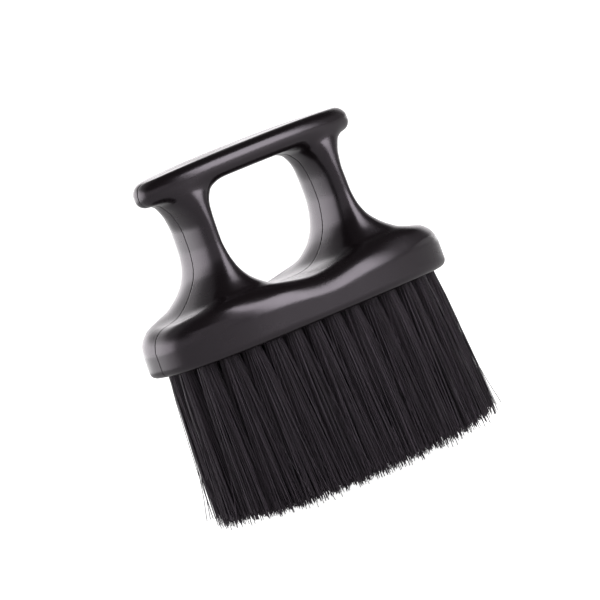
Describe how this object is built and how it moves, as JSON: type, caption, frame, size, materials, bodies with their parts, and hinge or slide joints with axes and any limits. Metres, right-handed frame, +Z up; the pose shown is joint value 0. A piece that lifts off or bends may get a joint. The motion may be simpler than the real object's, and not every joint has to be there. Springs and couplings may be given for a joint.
{
  "type": "neck duster brush",
  "caption": "Small hand brush: an oblong block of straight bristle tufts under a two-post handle with a round finger hole, for brushing cut hair off the neck.",
  "frame": {"origin": "under the middle of the brush, in the plane of the cut bristle tips", "axes": "+Z up from the bristle tips to the cross bar, X along the length of the base, the front of the handle faces -Y"},
  "size_m": [0.0574, 0.0264, 0.0603],
  "materials": {
    "handle_black": "semi-gloss",
    "block_black": "matt",
    "anchor_metal": "plain",
    "bristle_black": "fine straight nylon filament"
  },
  "bodies": {
    "root": {"front_shell": "handle_black", "rear_shell": "handle_black", "tuft_anchors": "anchor_metal", "tuft_block": "block_black", "tuft_inner_01": "bristle_black", "tuft_inner_02": "bristle_black", "tuft_inner_03": "bristle_black", "tuft_inner_04": "bristle_black", "tuft_inner_05": "bristle_black", "tuft_inner_06": "bristle_black", "tuft_inner_07": "bristle_black", "tuft_inner_08": "bristle_black", "tuft_inner_09": "bristle_black", "tuft_inner_10": "bristle_black", "tuft_inner_11": "bristle_black", "tuft_inner_12": "bristle_black", "tuft_inner_13": "bristle_black", "tuft_inner_14": "bristle_black", "tuft_inner_15": "bristle_black", "tuft_inner_16": "bristle_black", "tuft_inner_17": "bristle_black", "tuft_inner_18": "bristle_black", "tuft_inner_19": "bristle_black", "tuft_inner_20": "bristle_black", "tuft_inner_21": "bristle_black", "tuft_inner_22": "bristle_black", "tuft_inner_23": "bristle_black", "tuft_outer_01": "bristle_black", "tuft_outer_02": "bristle_black", "tuft_outer_03": "bristle_black", "tuft_outer_04": "bristle_black", "tuft_outer_05": "bristle_black", "tuft_outer_06": "bristle_black", "tuft_outer_07": "bristle_black", "tuft_outer_08": "bristle_black", "tuft_outer_09": "bristle_black", "tuft_outer_10": "bristle_black", "tuft_outer_11": "bristle_black", "tuft_outer_12": "bristle_black", "tuft_outer_13": "bristle_black", "tuft_outer_14": "bristle_black", "tuft_outer_15": "bristle_black", "tuft_outer_16": "bristle_black", "tuft_outer_17": "bristle_black", "tuft_outer_18": "bristle_black", "tuft_outer_19": "bristle_black", "tuft_outer_20": "bristle_black", "tuft_outer_21": "bristle_black", "tuft_outer_22": "bristle_black", "tuft_outer_23": "bristle_black", "tuft_outer_24": "bristle_black", "tuft_outer_25": "bristle_black", "tuft_outer_26": "bristle_black", "tuft_outer_27": "bristle_black", "tuft_outer_28": "bristle_black", "tuft_outer_29": "bristle_black", "tufts_core": "bristle_black"}
  },
  "joints": []
}
